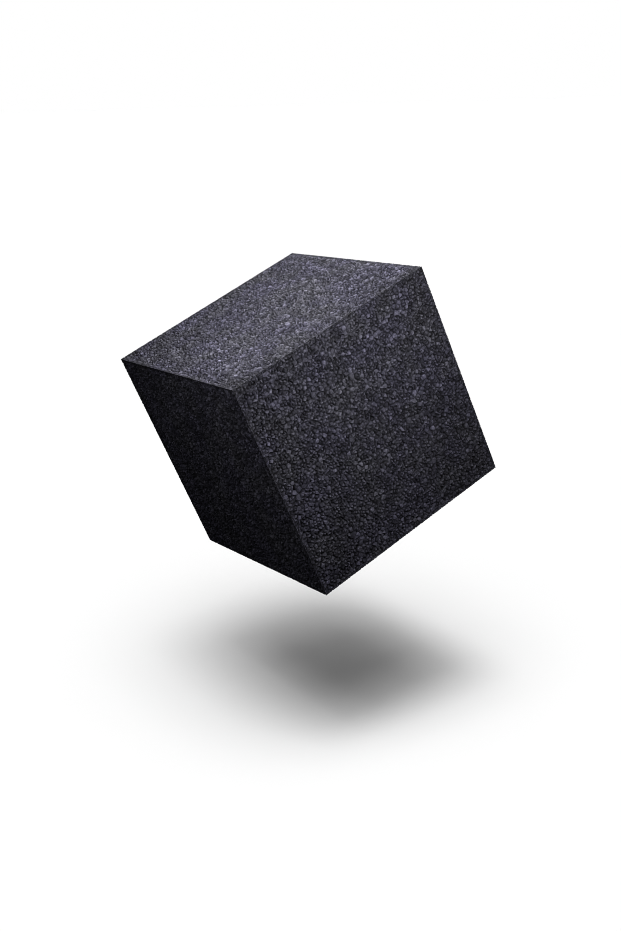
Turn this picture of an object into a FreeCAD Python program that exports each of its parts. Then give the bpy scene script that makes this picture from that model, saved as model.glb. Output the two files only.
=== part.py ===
import FreeCAD, Part
import os
import Sketcher

# A pressed charcoal block: crushed charcoal bonded into one solid cube. Its faces are flat,
# and its edges are square, with only the arris broken along each.
#
# The block stands on one face. +Z is up, the origin is the middle of the face that it rests
# on, and X and Y are square to the side faces. Sizes are in millimetres.

PART_FOLDER = "parts"
SHEET = "dimensions"

# Alias, size and meaning of each driving dimension.
DRIVING_DIMENSIONS = (
    ("side", 25.0, "length of each side of the cube"),
    ("arris", 0.15, "width of the break along each edge"),
)

# Sketcher's numbers for the ends of a line and for a sketch's own origin.
START, END = 1, 2
SKETCH_ORIGIN = (-1, 1)

TOLERANCE_MM = 1e-4


def add_dimensions(doc):
    """The spreadsheet that drives the part, with one row for each dimension."""
    sheet = doc.addObject("Spreadsheet::Sheet", SHEET)
    for row, (alias, size, meaning) in enumerate(DRIVING_DIMENSIONS, start=1):
        sheet.set(f"A{row}", meaning)
        sheet.set(f"B{row}", str(size))
        sheet.setAlias(f"B{row}", alias)
    doc.recompute()
    return sheet


def own_plane(body, role):
    """One of the body's own origin planes, such as XY_Plane."""
    return next(plane for plane in body.Origin.OriginFeatures if plane.Role == role)


def add_resting_square(body, sheet):
    """The square that the block rests on: on the XY plane, with its middle on the origin."""
    sketch = body.newObject("Sketcher::SketchObject", "resting_square")
    sketch.AttachmentSupport = (own_plane(body, "XY_Plane"), [""])
    sketch.MapMode = "FlatFace"

    half = sheet.side / 2
    corners = [FreeCAD.Vector(x * half, y * half) for x, y in ((-1, -1), (1, -1), (1, 1), (-1, 1))]
    lines = [
        sketch.addGeometry(Part.LineSegment(corner, corners[(i + 1) % 4]))
        for i, corner in enumerate(corners)
    ]
    for i, line in enumerate(lines):
        following = lines[(i + 1) % 4]
        direction = "Vertical" if i % 2 else "Horizontal"
        sketch.addConstraint(Sketcher.Constraint("Coincident", line, END, following, START))
        sketch.addConstraint(Sketcher.Constraint(direction, line))

    bottom, right, top = lines[:3]
    sketch.addConstraint(Sketcher.Constraint("Equal", bottom, right))
    sketch.addConstraint(
        Sketcher.Constraint("Symmetric", bottom, START, top, START, *SKETCH_ORIGIN)
    )
    width = sketch.addConstraint(
        Sketcher.Constraint("DistanceX", bottom, START, bottom, END, sheet.side)
    )
    sketch.renameConstraint(width, "width")
    sketch.setExpression("Constraints.width", f"{SHEET}.side")
    return sketch


def add_charcoal_block(doc, sheet):
    """The whole block: the square raised to a cube, then every edge broken."""
    body = doc.addObject("PartDesign::Body", "charcoal_block")
    body.Label = "charcoal_block"

    cube = body.newObject("PartDesign::Pad", "pressed_cube")
    cube.Profile = add_resting_square(body, sheet)
    cube.setExpression("Length", f"{SHEET}.side")
    doc.recompute()

    edges = [f"Edge{i}" for i in range(1, len(cube.Shape.Edges) + 1)]
    broken = body.newObject("PartDesign::Chamfer", "broken_edges")
    broken.Base = (cube, edges)
    broken.setExpression("Size", f"{SHEET}.arris")
    doc.recompute()
    return body


def check_document(doc):
    """Stops the script if any object of the document failed to build."""
    for item in doc.Objects:
        if {"Invalid", "Error"} & set(item.State):
            raise RuntimeError(f"{item.Label} did not build: {item.State}")


def check_block(body, sheet):
    """Stops the script unless the block is one closed cube of the stated side, on its origin."""
    shape = body.Shape
    if shape.isNull() or not shape.isValid() or len(shape.Solids) != 1:
        raise RuntimeError(f"{body.Label} is not one valid solid")

    box, half = shape.BoundBox, sheet.side / 2
    measured = (box.XMin, box.XMax, box.YMin, box.YMax, box.ZMin, box.ZMax)
    wanted = (-half, half, -half, half, 0, sheet.side)
    if any(abs(a - b) > TOLERANCE_MM for a, b in zip(measured, wanted)):
        raise RuntimeError(f"{body.Label} measures {measured}, not {wanted}")

    # Breaking an edge only removes material, and less than a square strip along each edge.
    cube = sheet.side**3
    strips = 12 * sheet.side * sheet.arris**2
    if not cube - strips < shape.Volume < cube:
        raise RuntimeError(f"{body.Label} holds {shape.Volume} mm3, which is not a broken cube")


def main():
    doc = FreeCAD.newDocument("charcoal")
    sheet = add_dimensions(doc)
    block = add_charcoal_block(doc, sheet)
    check_document(doc)
    check_block(block, sheet)

    os.makedirs(PART_FOLDER, exist_ok=True)
    block.Shape.exportStep(os.path.join(PART_FOLDER, f"{block.Label}.step"))


main()
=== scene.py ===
import math

import bpy
import numpy as np
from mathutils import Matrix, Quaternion, Vector
from mathutils.geometry import delaunay_2d_cdt


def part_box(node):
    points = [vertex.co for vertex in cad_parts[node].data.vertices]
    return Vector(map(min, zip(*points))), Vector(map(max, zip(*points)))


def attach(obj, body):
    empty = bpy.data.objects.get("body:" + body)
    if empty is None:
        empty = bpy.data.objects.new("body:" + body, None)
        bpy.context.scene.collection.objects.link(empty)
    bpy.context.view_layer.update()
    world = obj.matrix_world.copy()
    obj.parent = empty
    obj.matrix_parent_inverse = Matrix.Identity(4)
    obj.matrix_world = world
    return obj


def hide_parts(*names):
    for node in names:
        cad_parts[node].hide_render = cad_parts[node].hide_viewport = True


# A cube of pressed charcoal granules, hovering tilted over a white studio floor.
#
# The block's whole surface is one closed mesh: a pavement of angular grains with grooves
# between them. Grain sizes are in millimetres; the mesh is turned into metres, the row
# frame's unit, when it's built. Lights and camera are placed in block sides.

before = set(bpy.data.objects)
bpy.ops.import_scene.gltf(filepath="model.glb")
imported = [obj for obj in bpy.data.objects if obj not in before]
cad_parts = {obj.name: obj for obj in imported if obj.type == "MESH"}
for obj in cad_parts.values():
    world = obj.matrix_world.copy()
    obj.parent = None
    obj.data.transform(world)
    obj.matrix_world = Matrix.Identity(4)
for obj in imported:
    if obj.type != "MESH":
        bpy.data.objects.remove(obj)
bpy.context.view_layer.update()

MM = 0.001
BLOCK = "charcoal_block"

block_low, block_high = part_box(BLOCK)
SIDE_MM = round((block_high.x - block_low.x) / MM, 3)
SIDE_M = block_high.x - block_low.x
BLOCK_CENTRE = (block_low + block_high) / 2

SEED = 20261116

# Distance between the middles of neighbouring grains, from the coarsest down, and the most
# grains of that size that a face gets. The finest fill whatever is left.
GRAIN_SIZES = ((0.90, 10), (0.66, 60), (0.48, 350), (0.29, 4000))

# Distance between the middles of neighbouring grains along the block's edges, and how far the
# middles of the other grains keep from an edge.
EDGE_GRAIN = (0.28, 0.44)
EDGE_CLEARANCE = 0.34

# Grains below this size are crumbs, which have a peak and no top.
CRUMB = 0.4

# Grains are laid on the spots of a fine square grid, and moved off them by part of its step.
SCATTER_STEP = 0.04
SCATTER_JITTER = 0.4

# Middles closer than this would count as one.
SAME_PLACE = 1e-7

# Grains up to this size come in every shade. The coarser a grain is, the paler it starts.
DARK_SIZE = 0.3

# How far below the pressed face a grain's top lies, how steeply the top leans, and how far
# towards the corners of the grain's outline it reaches.
TOP_DEPTH = (0.0, 0.10)
LEAST_TOP_DEPTH = 0.003
TOP_LEAN = 0.25
TOP_REACH = (0.42, 0.74)

# How often the top has a corner towards one of the outline's, and the widest turn, in radians,
# from one of its corners to the next.
CORNER_CHANCE = 0.5
TOP_TURN = 2.2

# How far below the pressed face the gaps between grains lie.
GAP_DEPTH = (0.10, 0.31)

# The block's edges and corners are shallower, so that they stay crisp. Off an edge, the depth
# is at most this slope times the distance from it.
EDGE_TOP_DEPTH = (0.0, 0.02)
EDGE_GAP_DEPTH = (0.01, 0.06)
CORNER_DEPTH = 0.01
EDGE_SLOPE = 0.4

# A vertex's crest tells grains from gaps. It's highest on a grain, this much in the shallowest
# gaps and 0 in the deepest. The material darkens a vertex by its crest: painted shade in the
# gaps between grains.
GRAIN_CREST = 1.0
GAP_CREST = 0.5

# The block's edges get painted shade, to dim the light that their shallower grains catch: there
# a vertex's crest is capped, and the cap rises with each millimetre from the edge.
EDGE_CREST = 0.28
CREST_SLOPE = 2.4

# How much of a facet's shade is its own, and not its grain's.
CRUMB_CHANCE = 0.8
GRAIN_CHANCE = 0.25

# The layer of texture places that the material is baked with, and the blank rim of each of its
# cells, as a share of the cell.
BAKE_LAYER = "OFBake"
CELL_MARGIN = 0.01


# ---------------------------------------------------------------------------------------
# Grains
# ---------------------------------------------------------------------------------------

class Pavement:
    """The grains' vertices and facets, laid face by face and shared along the block's edges.

    A vertex has a point and a crest. A facet has corners, a tone and a cell of the bake layer.
    Vertices are found again by numbers, and a grain's depth and tone by looks.
    """

    def __init__(self, rng, half):
        self.rng = rng
        self.half = half
        self.points = []
        self.crest = []
        self.facets = []
        self.tone = []
        self.cells = []
        self.numbers = {}
        self.looks = {}

    def outward(self, place):
        """The outward normals, added up, of the faces that a place on the surface lies on."""
        return np.where(np.abs(place) == self.half, np.sign(place), 0.0)

    def vertex(self, key, place, depth, edge_depth, crest):
        """The vertex of that key. It's made on first use, some way below the surface."""
        if key not in self.numbers:
            outward = self.outward(place)
            second_farthest = np.sort(np.abs(place))[1]
            from_edge = self.half - second_farthest
            if np.abs(outward).sum() > 1:
                depth = edge_depth
            else:
                depth = min(depth, EDGE_SLOPE * from_edge)
            # Painted shade along the block's edges: near them the crest is capped.
            crest = min(crest, EDGE_CREST + CREST_SLOPE * from_edge)
            self.numbers[key] = len(self.points)
            self.points.append(place - outward * depth)
            self.crest.append(crest)
        return self.numbers[key]

    def facet(self, corners, tone, chance):
        """A facet of a grain. Its shade is partly the grain's and partly chance."""
        self.facets.append(corners)
        self.tone.append((1 - chance) * tone + chance * self.rng.uniform())


def edge_stations(rng, half):
    """Grain middles along an edge of the block, the two corners left out."""
    steps = []
    while sum(steps) < 2 * half:
        steps.append(rng.uniform(*EDGE_GRAIN))
    stations = np.cumsum(steps)[:-1]
    return stations / sum(steps) * 2 * half - half


def border_grains(rng, half):
    """Grain middles on the block's corners and edges, shared by the faces that meet there."""
    signs = np.array([(x, y, z) for x in (-1, 1) for y in (-1, 1) for z in (-1, 1)])
    grains = list(signs * half)
    for along in range(3):
        for corner in signs[signs[:, along] > 0] * half:
            for station in edge_stations(rng, half):
                place = corner.copy()
                place[along] = station
                grains.append(place)
    return np.array(grains)


def take_spots(free, ticks, place, reach):
    """Marks the grid spots within reach of a place as no longer free."""
    near = [slice(*np.searchsorted(ticks, (middle - reach, middle + reach))) for middle in place]
    x, y = (ticks[part] - middle for part, middle in zip(near, place))
    free[tuple(near)] &= np.hypot(x[:, None], y[None, :]) > reach


def scatter(rng, taken, half):
    """The middles and sizes of a face's grains: those already on its border, then the others.

    The others are laid in random order, each clear of those before it.
    """
    reach = half - EDGE_CLEARANCE
    ticks = np.arange(-reach, reach, SCATTER_STEP)
    places = list(taken)
    sizes = [np.mean(EDGE_GRAIN)] * len(places)
    for size, room in GRAIN_SIZES:
        free = np.ones((len(ticks), len(ticks)), bool)
        for place, other in zip(places, sizes):
            take_spots(free, ticks, place, (size + other) / 2)
        for spot in rng.permutation(free.size):
            if room and free.flat[spot]:
                place = ticks[list(divmod(spot, len(ticks)))]
                place = place + rng.uniform(-SCATTER_JITTER, SCATTER_JITTER, 2) * SCATTER_STEP
                take_spots(free, ticks, place, size)
                places.append(place)
                sizes.append(size)
                room -= 1
    return np.array(places), sizes


def circumcentres(corners):
    """The point equally far from the three corners of each triangle."""
    a, b, c = corners[:, 0], corners[:, 1], corners[:, 2]
    ab, ac = b - a, c - a
    twice_area = 2 * (ab[:, 0] * ac[:, 1] - ab[:, 1] * ac[:, 0])
    ab2, ac2 = (ab**2).sum(axis=1), (ac**2).sum(axis=1)
    x = (ac[:, 1] * ab2 - ab[:, 1] * ac2) / twice_area
    y = (ab[:, 0] * ac2 - ac[:, 0] * ab2) / twice_area
    return a + np.stack((x, y), axis=1)


def pave_face(pavement, normal, sign, shared_grains):
    """Lays the grains of one face of the block: each fills the part that is nearest to it."""
    rng = pavement.rng
    u, v = (normal + 1) % 3, (normal + 2) % 3
    if sign < 0:
        u, v = v, u

    half = pavement.half
    border = np.flatnonzero(shared_grains[:, normal] == sign * half)
    places = shared_grains[border][:, (u, v)]
    places, sizes = scatter(rng, places, half)
    names = [("border", i) for i in border]
    names += [(normal, sign, i) for i in range(len(places) - len(border))]

    triangles = delaunay_2d_cdt([Vector(place) for place in places], [], [], 0, SAME_PLACE)[2]
    gaps = [[] for _ in places]
    for centre, triangle in zip(circumcentres(places[np.array(triangles)]), triangles):
        for grain in triangle:
            gaps[grain].append(((normal, sign, *sorted(triangle)), centre))

    # Neighbours along the block's edges meet halfway, and the two faces share that point.
    for axis in (0, 1):
        for side in (-half, half):
            row = [i for i in range(len(border)) if places[i, 1 - axis] == side]
            row.sort(key=lambda i: places[i, axis])
            for a, b in zip(row, row[1:]):
                gap = (("between", *sorted((border[a], border[b]))), (places[a] + places[b]) / 2)
                gaps[a].append(gap)
                gaps[b].append(gap)

    def on_block(place):
        """A place on this face, in the block's own three axes."""
        point = np.empty(3)
        point[normal], point[u], point[v] = sign * half, *place
        return point

    for name, place, size, around in zip(names, places, sizes, gaps):
        lay_grain(pavement, name, place, inward(place, half), size, around, on_block)
    laid = len(pavement.facets) - len(pavement.cells)
    pavement.cells += [(normal, (sign + 1) // 2)] * laid


def top_corners(rng, turns, closed):
    """Which corners of its outline a grain's top has a corner towards. Some are skipped."""
    picked = [0]
    ahead = list(turns[1:]) + [turns[0] + 2 * math.pi if closed else math.inf]
    for i in range(1, len(turns)):
        skipped_turn = ahead[i] - turns[picked[-1]]
        if skipped_turn > TOP_TURN or rng.uniform() < CORNER_CHANCE:
            picked.append(i)
    return picked


def inward(place, half):
    """Which way a face's middle is, from a place on the face's border. Zero off the border."""
    return -np.where(np.abs(place) == half, np.sign(place), 0.0)


def lay_gaps(pavement, around, on_block):
    """The vertices of the gaps round a grain, in order."""
    rng = pavement.rng
    low, high = GAP_DEPTH
    outer = []
    for key, point in around:
        deep = rng.uniform()
        # The deeper a gap lies, the lower its crest, and so the darker its painted shade.
        outer.append(pavement.vertex(
            key, on_block(point), low + (high - low) * deep,
            rng.uniform(*EDGE_GAP_DEPTH), GAP_CREST * (1 - deep),
        ))
    return outer


def lay_crumb(pavement, peak, outer, tone, chance):
    """The facets from a crumb's peak down to the gaps round it."""
    for i in range(len(outer)):
        pavement.facet((peak, outer[i - 1], outer[i]), tone, chance)


def lay_sides(pavement, inner, outer, closed, tone, chance):
    """The facets from a grain's top down to the gaps round it.

    inner has the top's vertices, each by the number of the gap in outer that it's towards.
    """
    if closed:
        inner = {**inner, len(outer): inner[0]}
        outer = outer + outer
    for p, q in zip(inner, list(inner)[1:]):
        middle = (p + q + 1) // 2
        for i in range(p, q):
            nearest = p if i < middle else q
            pavement.facet((inner[nearest], outer[i], outer[i + 1]), tone, chance)
        pavement.facet((inner[p], outer[middle], inner[q]), tone, chance)


def lay_grain(pavement, name, place, inward, size, around, on_block):
    """One grain: a small leaning top, and facets from it down to the gaps round the grain.

    Coarse grains are pale. On the block's border a grain is cut off, so it isn't closed.
    """
    rng = pavement.rng
    closed = not inward.any()
    ahead = 1.0 if closed else complex(*inward)
    if name not in pavement.looks:
        pavement.looks[name] = (rng.uniform(*TOP_DEPTH), rng.uniform(max(0, size - DARK_SIZE), 1))
    depth, tone = pavement.looks[name]
    lean = rng.uniform(-TOP_LEAN, TOP_LEAN, 2)
    chance = CRUMB_CHANCE if size < CRUMB else GRAIN_CHANCE

    def turn(gap):
        """How far round the grain a gap is, from straight ahead."""
        return np.angle(complex(*(gap[1] - place)) / ahead)

    around = sorted(around, key=turn)
    outer = lay_gaps(pavement, around, on_block)

    if closed and size < CRUMB:
        peak = pavement.vertex(name, on_block(place), depth, 0, GRAIN_CREST)
        lay_crumb(pavement, peak, outer, tone, chance)
        return

    inner = {}
    for i in top_corners(rng, [turn(gap) for gap in around], closed):
        key, point = around[i]
        offset = (point - place) * rng.uniform(*TOP_REACH)
        inner[i] = pavement.vertex(
            (name, key), on_block(place + offset), max(LEAST_TOP_DEPTH, depth + offset @ lean),
            rng.uniform(*EDGE_TOP_DEPTH), GRAIN_CREST,
        )
    lay_sides(pavement, inner, outer, closed, tone, chance)

    top = list(inner.values())
    if inward.all():
        top.append(pavement.vertex(name, on_block(place), 0, CORNER_DEPTH, GRAIN_CREST))
    pavement.facet(top, tone, chance)


def unwrap(mesh, pavement):
    """Maps each face of the block to its own cell of a sheet, three cells wide and two high."""
    corners = np.concatenate(pavement.facets)
    cells = np.repeat(pavement.cells, [len(facet) for facet in pavement.facets], axis=0)
    places = np.array(pavement.points)[corners] / SIDE_MM + 0.5
    row, normal = np.arange(len(corners)), cells[:, 0]
    in_cell = np.stack((places[row, (normal + 1) % 3], places[row, (normal + 2) % 3]), axis=1)
    in_cell = CELL_MARGIN + (1 - 2 * CELL_MARGIN) * in_cell
    layer = mesh.uv_layers.new(name=BAKE_LAYER)
    layer.data.foreach_set("uv", ((cells + in_cell) / (3, 2)).ravel())


def build_block():
    """The block: one closed mesh of grains over all six faces."""
    rng = np.random.default_rng(SEED)
    pavement = Pavement(rng, SIDE_MM / 2)
    shared_grains = border_grains(rng, pavement.half)
    for normal in range(3):
        for sign in (-1, 1):
            pave_face(pavement, normal, sign, shared_grains)

    points = np.array(pavement.points) * MM + np.array(BLOCK_CENTRE)
    mesh = bpy.data.meshes.new(BLOCK)
    mesh.from_pydata(points.tolist(), [], pavement.facets)
    mesh.attributes.new("crest", "FLOAT", "POINT").data.foreach_set("value", pavement.crest)
    mesh.attributes.new("tone", "FLOAT", "FACE").data.foreach_set("value", pavement.tone)
    mesh.materials.append(charcoal())
    unwrap(mesh, pavement)

    block = bpy.data.objects.new("charcoal_granules", mesh)
    bpy.context.scene.collection.objects.link(block)
    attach(block, "root")
    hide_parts(BLOCK)
    return block


# ---------------------------------------------------------------------------------------
# Materials
# ---------------------------------------------------------------------------------------

def new_material(name):
    """An empty node material and its node tree."""
    material = bpy.data.materials.new(name)
    material.use_nodes = True
    material.node_tree.nodes.clear()
    return material, material.node_tree


def add_node(tree, kind, settings=None, **inputs):
    """A node with its settings, and its inputs given as numbers or as other nodes' outputs."""
    node = tree.nodes.new(kind)
    for name, value in (settings or {}).items():
        setattr(node, name, value)
    for name, value in inputs.items():
        socket = node.inputs[name.replace("_", " ")]
        if isinstance(value, bpy.types.NodeSocket):
            tree.links.new(value, socket)
        else:
            socket.default_value = value
    return node


# Shades are powers of ten, so they differ by a ratio: a few facets are several times brighter
# than the usual one. A facet's own shade and that of the specks on it are added, and the gaps
# are darkened by their crest: painted shade between the grains.
OWN_SHADE = (-0.58, 0.45)
SPECK_SHADE = (-0.2, 0.2)
CREST_RANGE = (0.1, 0.8)
CREST_PAINTED_SHADE = (0.12, 1.15)
ROUGHNESS = (0.95, 0.6)
SPECULAR = 0.25

# The colour drifts between these two tints, over this part of the noise's range.
GREY_TINT = (0.0702, 0.0686, 0.0866, 1)
VIOLET_TINT = (0.0690, 0.0661, 0.0955, 1)
DRIFT_RANGE = (0.4, 0.6)

# Sizes, in millimetres, of the specks on a grain, the patches of tint and the fine bumps, and
# how high and how strong the bumps are.
SPECK_SIZE = 0.15
TINT_SIZE = 4.0
BUMP_SIZE = 0.09
BUMP_HEIGHT = 0.03
BUMP_STRENGTH = 0.5

WHOLE_RANGE = (0.0, 1.0)


def charcoal():
    """Crushed charcoal: near-black with a violet-grey cast, each grain its own shade."""
    material, tree = new_material("charcoal")

    place = add_node(tree, "ShaderNodeNewGeometry").outputs["Position"]
    crest = add_node(tree, "ShaderNodeAttribute", {"attribute_name": "crest"}).outputs["Fac"]
    tone = add_node(tree, "ShaderNodeAttribute", {"attribute_name": "tone"}).outputs["Fac"]

    def noise(size_mm, detail, roughness=0.5):
        """Noise with lumps of about that size."""
        return add_node(
            tree, "ShaderNodeTexNoise",
            Vector=place, Scale=1 / (size_mm * MM), Detail=detail, Roughness=roughness,
        ).outputs["Fac"]

    def spread(value, source, target):
        """A value remapped from one range to another, and clamped to it."""
        return add_node(
            tree, "ShaderNodeMapRange", Value=value,
            From_Min=source[0], From_Max=source[1], To_Min=target[0], To_Max=target[1],
        ).outputs["Result"]

    def combine(operation, a, b):
        """Two values put together by a maths node. Either can be a number."""
        node = add_node(tree, "ShaderNodeMath", {"operation": operation})
        for socket, value in zip(node.inputs, (a, b)):
            if isinstance(value, float):
                socket.default_value = value
            else:
                tree.links.new(value, socket)
        return node.outputs[0]

    specks = add_node(
        tree, "ShaderNodeTexVoronoi", Vector=place, Scale=1 / (SPECK_SIZE * MM),
    ).outputs["Color"]
    own_shade = spread(tone, WHOLE_RANGE, OWN_SHADE)
    speck_shade = spread(specks, WHOLE_RANGE, SPECK_SHADE)
    shade = combine("POWER", 10.0, combine("ADD", own_shade, speck_shade))
    # Painted shade: the lower a vertex's crest, the darker its colour, in the gaps and along the
    # edges.
    shade = combine("MULTIPLY", shade, spread(crest, CREST_RANGE, CREST_PAINTED_SHADE))

    tint = add_node(tree, "ShaderNodeMix", {"data_type": "RGBA"})
    drift = spread(noise(TINT_SIZE, 2.0), DRIFT_RANGE, WHOLE_RANGE)
    tree.links.new(drift, tint.inputs["Factor"])
    tint.inputs["A"].default_value = GREY_TINT
    tint.inputs["B"].default_value = VIOLET_TINT

    colour = add_node(tree, "ShaderNodeVectorMath", {"operation": "SCALE"}, Scale=shade)
    tree.links.new(tint.outputs["Result"], colour.inputs[0])

    bump = add_node(
        tree, "ShaderNodeBump",
        Strength=BUMP_STRENGTH, Distance=BUMP_HEIGHT * MM, Height=noise(BUMP_SIZE, 4.0, 0.6),
    )
    surface = add_node(
        tree, "ShaderNodeBsdfPrincipled",
        Base_Color=colour.outputs[0], Roughness=spread(tone, WHOLE_RANGE, ROUGHNESS),
        Specular_IOR_Level=SPECULAR, Normal=bump.outputs[0],
    )
    add_node(tree, "ShaderNodeOutputMaterial", Surface=surface.outputs[0])
    return material


# How much of the sun's light the floor gives back, and how much it glows by itself.
FLOOR_COLOUR = (0.8, 0.8, 0.8, 1)
FLOOR_GLOW = 0.075


def studio_white():
    """White floor: lit where it's seen from above, and see-through from below."""
    material, tree = new_material("studio_white")
    white = add_node(tree, "ShaderNodeBsdfDiffuse", Color=FLOOR_COLOUR)
    glow = add_node(tree, "ShaderNodeEmission", Strength=FLOOR_GLOW)
    lit = add_node(tree, "ShaderNodeAddShader")
    tree.links.new(white.outputs[0], lit.inputs[0])
    tree.links.new(glow.outputs[0], lit.inputs[1])
    clear = add_node(tree, "ShaderNodeBsdfTransparent")
    underneath = add_node(tree, "ShaderNodeNewGeometry").outputs["Backfacing"]
    surface = add_node(tree, "ShaderNodeMixShader", Fac=underneath)
    tree.links.new(lit.outputs[0], surface.inputs[1])
    tree.links.new(clear.outputs[0], surface.inputs[2])
    add_node(tree, "ShaderNodeOutputMaterial", Surface=surface.outputs[0])
    return material


# ---------------------------------------------------------------------------------------
# Studio
# ---------------------------------------------------------------------------------------

# The block hovers on one corner, but is square to its own frame, so the floor is tilted. This
# is its way up, how far below the block's middle it lies, and its size, in block sides.
FLOOR_UP = Vector((0.087, 0.381, 0.920))
FLOOR_DROP = 1.486
FLOOR_SIDE = 80

# The sun's direction, and each of its discs as an angle in degrees and a strength. Together
# the discs throw a shadow that is soft at its rim.
SUN_FROM = Vector((0.365, 0.095, 0.926))
SUN_DISCS = ((16, 1.02), (36, 1.62), (60, 1.35))

# How strongly the world lights the block.
WORLD_GLOW = 0.01

# The camera's place in block sides, its angles in degrees and its lens in millimetres.
CAMERA_PLACE = (4.9592, -2.408, 2.8747)
CAMERA_AZIMUTH = 64.976
CAMERA_ELEVATION = 25.372
CAMERA_ROLL = -23.792
CAMERA_LENS = 52.32

# The nearest and farthest that the camera sees, in metres, and how many pixels wide each
# pixel's blur is.
CAMERA_REACH = (0.01, 100)
PIXEL_FILTER = 0.9


def in_sides(x, y, z):
    """A place measured in block sides from the row frame's origin, in metres."""
    return Vector((x, y, z)) * SIDE_M


def add_floor():
    """A wide white floor below the block. It shows the sun's shadow and casts no light."""
    reach = FLOOR_SIDE * SIDE_M / 2
    mesh = bpy.data.meshes.new("floor")
    corners = [(x * reach, y * reach, 0) for x, y in ((-1, -1), (1, -1), (1, 1), (-1, 1))]
    mesh.from_pydata(corners, [], [(0, 1, 2, 3)])
    mesh.materials.append(studio_white())
    floor = bpy.data.objects.new("floor", mesh)
    floor.location = BLOCK_CENTRE - FLOOR_UP * FLOOR_DROP * SIDE_M
    floor.rotation_mode = "QUATERNION"
    floor.rotation_quaternion = FLOOR_UP.to_track_quat("Z", "Y")
    floor.visible_diffuse = False
    floor.visible_glossy = False
    floor.visible_shadow = False
    bpy.context.scene.collection.objects.link(floor)
    return floor


def add_light(name, kind, receiver):
    """A light that reaches one object and isn't seen itself."""
    light = bpy.data.objects.new(name, bpy.data.lights.new(name, kind))
    light.visible_camera = False
    bpy.context.scene.collection.objects.link(light)
    lit = bpy.data.collections.new(f"lit_by_{name}")
    lit.objects.link(receiver)
    light.light_linking.receiver_collection = lit
    return light


def add_sun(floor):
    """The soft overhead light that throws the block's shadow on the floor."""
    for angle, strength in SUN_DISCS:
        sun = add_light(f"sun_{angle}", "SUN", floor)
        sun.rotation_mode = "QUATERNION"
        sun.rotation_quaternion = SUN_FROM.to_track_quat("Z", "Y")
        sun.data.angle = math.radians(angle)
        sun.data.energy = strength


def add_softbox(name, block, place, radius, power):
    """A round soft light, placed and sized in block sides, that faces the block's middle."""
    light = add_light(name, "AREA", block)
    light.data.shape = "DISK"
    light.data.size = 2 * radius * SIDE_M
    light.data.energy = power * SIDE_M**2
    light.location = in_sides(*place)
    light.rotation_mode = "QUATERNION"
    light.rotation_quaternion = (light.location - BLOCK_CENTRE).to_track_quat("Z", "Y")


def add_lights(block, floor):
    """The floor's sun, the block's keys and fill, and fills for the sides turned away."""
    add_sun(floor)
    add_softbox("top_key", block, (0, 0.6, 2.2), 0.3, 27.2)
    add_softbox("near_key", block, (0.3, -0.3, 1.5), 0.2, 2.8)
    add_softbox("right_key", block, (1.3, 0.1, 1.1), 0.45, 8.4)
    add_softbox("front_fill", block, (0.9, -1.5, 1.5), 0.35, 3.4)
    add_softbox("left_fill", block, (-3, 0, 0.5), 0.5, 20)
    add_softbox("back_fill", block, (0, 3, 0.5), 0.5, 20)
    add_softbox("under_fill", block, (0, 0, -2.5), 0.5, 10)


def add_world():
    """White where the camera sees past the floor, and nearly dark as a light."""
    world = bpy.data.worlds.new("studio")
    world.use_nodes = True
    tree = world.node_tree
    tree.nodes.clear()
    seen = add_node(tree, "ShaderNodeLightPath").outputs["Is Camera Ray"]
    strength = add_node(tree, "ShaderNodeMapRange", Value=seen, To_Min=WORLD_GLOW, To_Max=1.0)
    glow = add_node(
        tree, "ShaderNodeBackground", Color=(1, 1, 1, 1), Strength=strength.outputs["Result"],
    )
    add_node(tree, "ShaderNodeOutputWorld", Surface=glow.outputs[0])
    bpy.context.scene.world = world


def add_camera():
    """The camera: above the block and to its right, rolled so that the block tilts left."""
    data = bpy.data.cameras.new("camera")
    data.lens = CAMERA_LENS
    data.clip_start, data.clip_end = CAMERA_REACH
    azimuth, elevation = math.radians(CAMERA_AZIMUTH), math.radians(CAMERA_ELEVATION)
    back = Vector((
        math.sin(azimuth) * math.cos(elevation),
        -math.cos(azimuth) * math.cos(elevation),
        math.sin(elevation),
    ))
    camera = bpy.data.objects.new("camera", data)
    camera.location = in_sides(*CAMERA_PLACE)
    camera.rotation_mode = "QUATERNION"
    camera.rotation_quaternion = (
        (-back).to_track_quat("-Z", "Y") @ Quaternion((0, 0, 1), math.radians(CAMERA_ROLL))
    )
    bpy.context.scene.collection.objects.link(camera)
    bpy.context.scene.camera = camera


def main():
    block = build_block()
    floor = add_floor()
    add_lights(block, floor)
    add_world()
    add_camera()
    bpy.context.scene.view_settings.view_transform = "Standard"
    bpy.context.scene.cycles.filter_width = PIXEL_FILTER


main()
